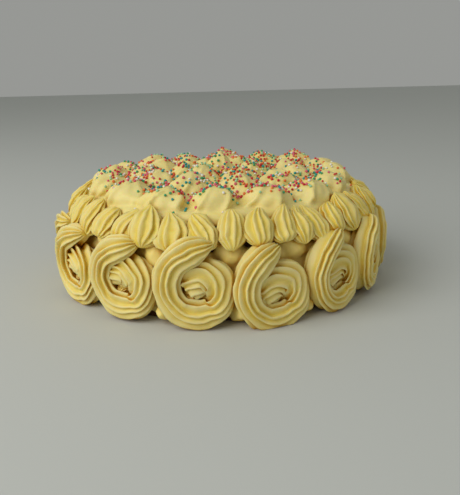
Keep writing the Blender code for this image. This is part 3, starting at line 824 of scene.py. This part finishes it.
mounds = finish_mesh("top_mounds", draw_paths("top_mounds", mound_paths()), nozzle_tree, {
    "Ridges": 7, "Points per Ridge": 8, "Uneven": 0.22, "Groove": 0.19, "Crest": 1.0,
    "Flow": 0.0030, "Flow Size": 0.013, "Grain": 0.0005, "Grain Size": 0.004,
    "Cream": soft_cream})
top = melt_together("top_cream", [dome, mounds], TOP_SKIN, TOP_ROUNDS, soft_cream)

# %% [markdown]
# Sugar beads lie thick on the middle and thin out to a few strays. Placing them by hand
# would take days. Distribute Points on Faces drops them on the cream with no two closer
# than a bead, and a noise gathers them into drifts. A ray straight up from each point finds
# those that are buried under another mound, and they are taken away.

# %% Geometry Nodes: scattered beads
# In bead radii: how far apart beads stay, and how high their middles lie over the cream
BEAD_APART = 1.9
BEAD_LIFT = 0.55
# How far above a point the ray that looks for cover starts
RAY_START = 0.0012


def make_bead_tree():
    """Scatters beads over the upward faces of a mesh, in drifts."""
    tree = bpy.data.node_groups.new("Scattered beads", 'GeometryNodeTree')
    given, result = add_inputs(tree, (
        ("Ground", 'NodeSocketGeometry', None),
        ("Bead Radius", 'NodeSocketFloat', 0.001),
        ("Density", 'NodeSocketFloat', 150000.0),
        ("Dense Radius", 'NodeSocketFloat', 0.070),
        ("Last Radius", 'NodeSocketFloat', 0.098),
        ("Drift Size", 'NodeSocketFloat', 0.013),
        ("Seed", 'NodeSocketInt', 7),
        ("Sugar", 'NodeSocketMaterial', None),
    ), (("Geometry", 'NodeSocketGeometry'),))
    spot = put(tree, 'GeometryNodeInputPosition')
    flat = put(tree, 'ShaderNodeVectorMath', {0: spot.outputs[0], 1: (1, 1, 0)}, operation='MULTIPLY')
    away = put(tree, 'ShaderNodeVectorMath', {0: flat.outputs[0]}, operation='LENGTH')
    per_metre = sum_up(tree, 'DIVIDE', 1.0, given.outputs["Drift Size"])
    drift = put(tree, 'ShaderNodeTexNoise', {"Vector": spot.outputs[0], "Scale": per_metre,
                "Detail": 1.0})
    gathered = put(tree, 'ShaderNodeMapRange', {0: drift.outputs["Fac"], 1: 0.40, 2: 0.58,
                   3: 0.10, 4: 1.0})
    inside = put(tree, 'ShaderNodeMapRange', {0: away.outputs["Value"],
                 1: given.outputs["Dense Radius"], 2: given.outputs["Last Radius"], 3: 1.0, 4: 0.0},
                 interpolation_type='SMOOTHSTEP')
    normal = put(tree, 'GeometryNodeInputNormal')
    upward = put(tree, 'ShaderNodeSeparateXYZ', {0: normal.outputs[0]})
    facing = put(tree, 'ShaderNodeMapRange', {0: upward.outputs[2], 1: 0.10, 2: 0.70, 3: 0.0, 4: 1.0})
    wanted = sum_up(tree, 'MULTIPLY', gathered.outputs[0], inside.outputs[0])
    chance = sum_up(tree, 'MULTIPLY', wanted, facing.outputs[0])
    apart = sum_up(tree, 'MULTIPLY', given.outputs["Bead Radius"], BEAD_APART)
    dropped = put(tree, 'GeometryNodeDistributePointsOnFaces', {"Mesh": given.outputs["Ground"],
                  "Distance Min": apart, "Density Max": given.outputs["Density"], "Density Factor": chance,
                  "Seed": given.outputs["Seed"]}, distribute_method='POISSON')
    lift = sum_up(tree, 'MULTIPLY', given.outputs["Bead Radius"], BEAD_LIFT)
    step = put(tree, 'ShaderNodeVectorMath', {0: dropped.outputs["Normal"], "Scale": lift},
               operation='SCALE')
    raised = put(tree, 'GeometryNodeSetPosition', {"Geometry": dropped.outputs["Points"],
                 "Offset": step.outputs[0]})
    start = put(tree, 'GeometryNodeInputPosition')
    above = put(tree, 'ShaderNodeVectorMath', {0: start.outputs[0], 1: (0, 0, RAY_START)}, operation='ADD')
    ray = put(tree, 'GeometryNodeRaycast', {"Target Geometry": given.outputs["Ground"],
              "Source Position": above.outputs[0], "Ray Direction": (0, 0, 1), "Ray Length": 0.1})
    open_air = put(tree, 'GeometryNodeDeleteGeometry', {"Geometry": raised.outputs[0],
                   "Selection": ray.outputs["Is Hit"]}, domain='POINT')
    bead = put(tree, 'GeometryNodeMeshIcoSphere', {"Radius": given.outputs["Bead Radius"],
               "Subdivisions": 2})
    size = put(tree, 'FunctionNodeRandomValue', {2: 0.80, 3: 1.12, "Seed": 3}, data_type='FLOAT')
    placed = put(tree, 'GeometryNodeInstanceOnPoints', {"Points": open_air.outputs[0],
                 "Instance": bead.outputs[0], "Scale": size.outputs[1]})
    tint = put(tree, 'FunctionNodeRandomValue', {2: 0.0, 3: 1.0, "Seed": 11}, data_type='FLOAT')
    tinted = put(tree, 'GeometryNodeStoreNamedAttribute', {"Geometry": placed.outputs[0],
                 "Name": "bead_tint", "Value": tint.outputs[1]}, data_type='FLOAT', domain='INSTANCE')
    whole = put(tree, 'GeometryNodeRealizeInstances', {"Geometry": tinted.outputs[0]})
    smoothed = put(tree, 'GeometryNodeSetShadeSmooth', {"Geometry": whole.outputs[0]})
    dressed = put(tree, 'GeometryNodeSetMaterial', {"Geometry": smoothed.outputs[0],
                  "Material": given.outputs["Sugar"]})
    tree.links.new(dressed.outputs[0], result.inputs[0])
    return tree


bead_tree = make_bead_tree()
print("bead tree has", len(bead_tree.nodes), "nodes")

# %% [markdown]
# Sugar beads are small glossy shells in seven colours. Seven materials would do, but one
# material with a stepped colour ramp is less work: each bead was given a random number, and the
# ramp turns that number into its colour.

# %% Material: sugar beads
# Name, colour and share of the beads
BEAD_COLOURS = (
    ("red", (0.62, 0.020, 0.028), 0.20),
    ("pink", (0.75, 0.13, 0.20), 0.17),
    ("orange", (0.85, 0.20, 0.04), 0.15),
    ("green", (0.05, 0.36, 0.15), 0.09),
    ("teal", (0.02, 0.32, 0.32), 0.15),
    ("white", (0.85, 0.83, 0.75), 0.13),
    ("mint", (0.38, 0.68, 0.40), 0.11),
)


def make_sugar_material():
    """Glossy sugar shells, one of seven colours for each bead."""
    material = bpy.data.materials.new("sugar_shell")
    material.use_nodes = True
    tree = material.node_tree
    shader = tree.nodes["Principled BSDF"]
    tint = put(tree, 'ShaderNodeAttribute', attribute_name="bead_tint")
    ramp = put(tree, 'ShaderNodeValToRGB', {0: tint.outputs["Fac"]})
    ramp.color_ramp.interpolation = 'CONSTANT'
    stops = ramp.color_ramp.elements
    start = 0.0
    for index, (_, colour, share) in enumerate(BEAD_COLOURS):
        stop = stops[index] if index < 2 else stops.new(start)
        stop.position = start
        stop.color = (*colour, 1.0)
        start += share
    tree.links.new(ramp.outputs[0], shader.inputs["Base Color"])
    place = put(tree, 'ShaderNodeTexCoord')
    speckle = put(tree, 'ShaderNodeTexNoise', {"Vector": place.outputs["Object"], "Scale": 2500.0})
    rough = sum_up(tree, 'MULTIPLY_ADD', speckle.outputs["Fac"], 0.2, 0.28)
    tree.links.new(rough, shader.inputs["Roughness"])
    shader.inputs["Specular IOR Level"].default_value = 0.5
    return material


sugar = make_sugar_material()
print("bead colours:", [name for name, _, _ in BEAD_COLOURS])

# %% Beads on the cream
ground = join_copies("ground", [top, kisses])
beads = finish_mesh("sugar_beads", ground, bead_tree, {
    "Sugar": sugar, "Bead Radius": 0.00095, "Density": 330000.0, "Dense Radius": 0.074,
    "Last Radius": 0.104, "Seed": 7})
settle(top, "cream", "top_cream")
settle(beads, "sugar_beads", "top_cream")

# %% [markdown]
# The sponge shows only in slivers between the kisses and the rosettes. Its crumb is dark
# brown and full of small holes. A plain cylinder would look turned on a lathe, so it is a
# round of many small faces pushed in and out by a fine noise, and the slivers look torn.

# %% Sponge
SPONGE_SHOULDER_Z = 0.056
SPONGE_TOP_RADIUS = 0.0995
# The bevel between the straight side and the slope of the shoulder: inwards and upwards
SPONGE_BEVEL = (0.0016, 0.0034)
SPONGE_SIDES = 300
SPONGE_ROW_MM = 2
# How far crumbs stand in and out, and how many fine and coarse ones there are in a metre
CRUMB = 0.0007
CRUMB_SCALES = (450, 150)


def make_sponge_material():
    """Dark crumb: brown with paler grains and small dark holes."""
    material = bpy.data.materials.new("nougat_sponge")
    material.use_nodes = True
    tree = material.node_tree
    shader = tree.nodes["Principled BSDF"]
    place = put(tree, 'ShaderNodeTexCoord')
    crumb = put(tree, 'ShaderNodeTexNoise', {"Vector": place.outputs["Object"], "Scale": 420.0,
                "Detail": 5.0, "Roughness": 0.7})
    ramp = put(tree, 'ShaderNodeValToRGB', {0: crumb.outputs["Fac"]})
    ramp.color_ramp.elements[0].position = 0.36
    ramp.color_ramp.elements[0].color = (0.022, 0.008, 0.004, 1)
    ramp.color_ramp.elements[1].position = 0.70
    ramp.color_ramp.elements[1].color = (0.20, 0.075, 0.028, 1)
    bump = put(tree, 'ShaderNodeBump', {"Height": crumb.outputs["Fac"], "Strength": 0.8,
               "Distance": 0.0010})
    tree.links.new(ramp.outputs[0], shader.inputs["Base Color"])
    tree.links.new(bump.outputs[0], shader.inputs["Normal"])
    shader.inputs["Roughness"].default_value = 0.92
    shader.inputs["Specular IOR Level"].default_value = 0.2
    return material


def make_sponge():
    """The dark sponge, rough with crumb round its side."""
    profile = [(SPONGE_RADIUS, 0.0)]
    rows = range(SPONGE_ROW_MM, round(SPONGE_SHOULDER_Z * 1000), SPONGE_ROW_MM)
    profile += [(SPONGE_RADIUS, height * 0.001) for height in rows]
    profile.append((SPONGE_RADIUS - SPONGE_BEVEL[0], SPONGE_SHOULDER_Z + SPONGE_BEVEL[1]))
    profile.append((SPONGE_TOP_RADIUS, SPONGE_HEIGHT))
    rings = []
    for radius, height in profile:
        ring = []
        for side in range(SPONGE_SIDES):
            azimuth = 2 * math.pi * side / SPONGE_SIDES
            place = around(azimuth, radius, height)
            push = sum(CRUMB * noise.noise(place * scale) for scale in CRUMB_SCALES)
            ring.append(around(azimuth, radius + push, height))
        rings.append(ring)
    material = make_sponge_material()
    return close_rings("nougat_sponge", rings, (0, 0, 0), (0, 0, SPONGE_HEIGHT), material)


sponge = make_sponge()
settle(sponge, "sponge", "sponge")

# %% [markdown]
# Before the rosettes went on, a coat of cream was spread round the side. It shows between
# them as smooth yellow patches and stops ragged below the kisses, where the dark sponge looks
# through. A plain tube would look turned, so its edges and its thickness follow a noise.

# %% Coat of cream on the side
COAT_SIDES = 360
COAT_ROWS = 20
COAT_THICKNESS = 0.0040
# The lower and the upper edge: height, how ragged, how often it goes in and out, and the
# noise's start
COAT_FOOT = (0.0035, 0.0030, 9, 0)
COAT_RIM = (0.0475, 0.0035, 14, 5)
# How far the edges are tucked into the sponge
COAT_TUCK = 0.0015
# The share of the height at each edge over which the coat runs out, and its lumps in a metre
COAT_RUN = 1 / 6
COAT_LUMPS = 70


def ragged(edge, beat):
    """The height of one of the coat's edges at a place on a unit circle."""
    height, depth, often, start = edge
    return height + depth * noise.noise(beat * often + Vector((start, 0, 0)))


def make_coat():
    """A thin ragged band of cream round the sponge."""
    rings = []
    for side in range(COAT_SIDES):
        azimuth = 2 * math.pi * side / COAT_SIDES
        beat = Vector((math.cos(azimuth), math.sin(azimuth), 0.0))
        low = ragged(COAT_FOOT, beat)
        high = ragged(COAT_RIM, beat)
        ring = [around(azimuth, SPONGE_RADIUS - COAT_TUCK, low)]
        for row in range(COAT_ROWS + 1):
            share = row / COAT_ROWS
            height = low + (high - low) * share
            edge = min(1.0, share / COAT_RUN, (1 - share) / COAT_RUN)
            lumps = 0.95 + 0.8 * noise.noise(around(azimuth, SPONGE_RADIUS, height) * COAT_LUMPS)
            thick = COAT_THICKNESS * lumps * math.sqrt(edge)
            ring.append(around(azimuth, SPONGE_RADIUS + thick, height))
        ring.append(around(azimuth, SPONGE_RADIUS - COAT_TUCK, high))
        rings.append(ring)
    shell = bmesh.new()
    rows = [[shell.verts.new(point) for point in ring] for ring in rings]
    count = len(rings[0])
    for side, row in enumerate(rows):
        after = rows[(side + 1) % COAT_SIDES]
        for spot in range(count):
            shell.faces.new((row[spot], row[(spot + 1) % count], after[(spot + 1) % count], after[spot]))
    bmesh.ops.recalc_face_normals(shell, faces=shell.faces)
    return show_shell("coat", shell)


coat = make_coat()
print("the bare coat has", len(coat.data.polygons), "faces")

# %% [markdown]
# Where two rosettes met, some cream was squeezed out between them, most of it at the foot.
# Those heaps could be rounded lumps set by hand, but a short wide strand that points outwards
# gives the same lump with four sizes, and the coat and all the heaps melt into one skin.

# %% Heaps of cream between the rosettes
# Shift round the side in radians, height, half width and reach
HEAPS = (
    (0.0, 0.0085, 0.0085, 0.0145),
    (0.0, 0.0240, 0.0080, 0.0090),
    (-0.09, 0.0450, 0.0130, 0.0100),
    (0.07, 0.0425, 0.0095, 0.0105),
)
HEAP_SEED = 5
HEAP_RINGS = 8
# How far a heap is sunk in the sponge
HEAP_ROOT = 0.001
COAT_SKIN = 0.0011
COAT_ROUNDS = 4


def heap_path(azimuth, height, half_width, reach):
    """A short wide strand from the side outwards, round at its end."""
    path = []
    for ring in range(HEAP_RINGS + 1):
        share = ring / HEAP_RINGS
        width = half_width * max(0.05, math.cos(math.pi / 2 * share) ** 0.6)
        place = around(azimuth, SPONGE_RADIUS - HEAP_ROOT + reach * share, height)
        path.append((place, width, width, 0.0, (0, 0, 1)))
    return path


def heap_paths():
    """The cream squeezed out where rosettes meet, low down, half way and under the kisses."""
    draw = random.Random(HEAP_SEED)
    azimuths = sorted(math.radians(look[0]) for look in rosette_looks())
    nexts = azimuths[1:] + [azimuths[0] + 2 * math.pi]
    borders = [(low + high) / 2 for low, high in zip(azimuths, nexts)]
    paths = []
    for border in borders:
        for shift, height, half_width, reach in HEAPS:
            side = border + shift + draw.uniform(-0.03, 0.03)
            wide = half_width * draw.uniform(0.85, 1.15)
            up = height + draw.uniform(-0.002, 0.002)
            paths.append(heap_path(side, up, wide, reach * draw.uniform(0.85, 1.15)))
    return paths


heaps = finish_mesh("heaps", draw_paths("heaps", heap_paths()), nozzle_tree, {
    "Ridges": 7, "Points per Ridge": 8, "Uneven": 0.2, "Groove": 0.12, "Flow": 0.0025,
    "Flow Size": 0.010, "Grain": 0.0004, "Grain Size": 0.003, "Cream": coat_cream_painted_light})
coat = melt_together("cream_coat", [coat, heaps], COAT_SKIN, COAT_ROUNDS, coat_cream_painted_light)
settle(coat, "cream", "sponge")

# %% [markdown]
# A pale floor and soft light from the upper left finish the picture. A small lamp would draw
# hard edges in every groove, so one large panel does most of the work, a weaker one opens the
# shadows, and a grey world fills the rest.

# %% Floor and light
FLOOR_SIZE = 3.0
AIM = Vector((0.0, 0.0, 0.05))
WORLD_STRENGTH = 0.50


def make_floor():
    """A wide pale floor under the cake."""
    shell = bmesh.new()
    bmesh.ops.create_grid(shell, x_segments=1, y_segments=1, size=FLOOR_SIZE)
    floor = show_shell("floor", shell)
    material = bpy.data.materials.new("pale_floor")
    material.use_nodes = True
    shader = material.node_tree.nodes["Principled BSDF"]
    shader.inputs["Base Color"].default_value = (0.58, 0.60, 0.57, 1)
    shader.inputs["Roughness"].default_value = 0.75
    floor.data.materials.append(material)


def make_light(name, place, size, power, colour):
    """A square soft light that faces the cake."""
    lamp = bpy.data.lights.new(name, 'AREA')
    lamp.size = size
    lamp.energy = power
    lamp.color = colour
    light = bpy.data.objects.new(name, lamp)
    light.location = place
    light.rotation_euler = (AIM - light.location).to_track_quat('-Z', 'Y').to_euler()
    bpy.context.scene.collection.objects.link(light)


make_floor()
make_light("window", (-0.95, -0.75, 0.95), 1.3, 15.5, (1.0, 0.985, 0.96))
make_light("fill", (1.0, -1.0, 0.6), 1.0, 0.8, (0.95, 0.98, 1.0))
world = bpy.data.worlds.new("room")
world.use_nodes = True
world.node_tree.nodes["Background"].inputs["Color"].default_value = (0.62, 0.63, 0.60, 1)
world.node_tree.nodes["Background"].inputs["Strength"].default_value = WORLD_STRENGTH
bpy.context.scene.world = world
bpy.context.scene.view_settings.view_transform = 'Standard'
print("two panels of light, and a world of strength", WORLD_STRENGTH)
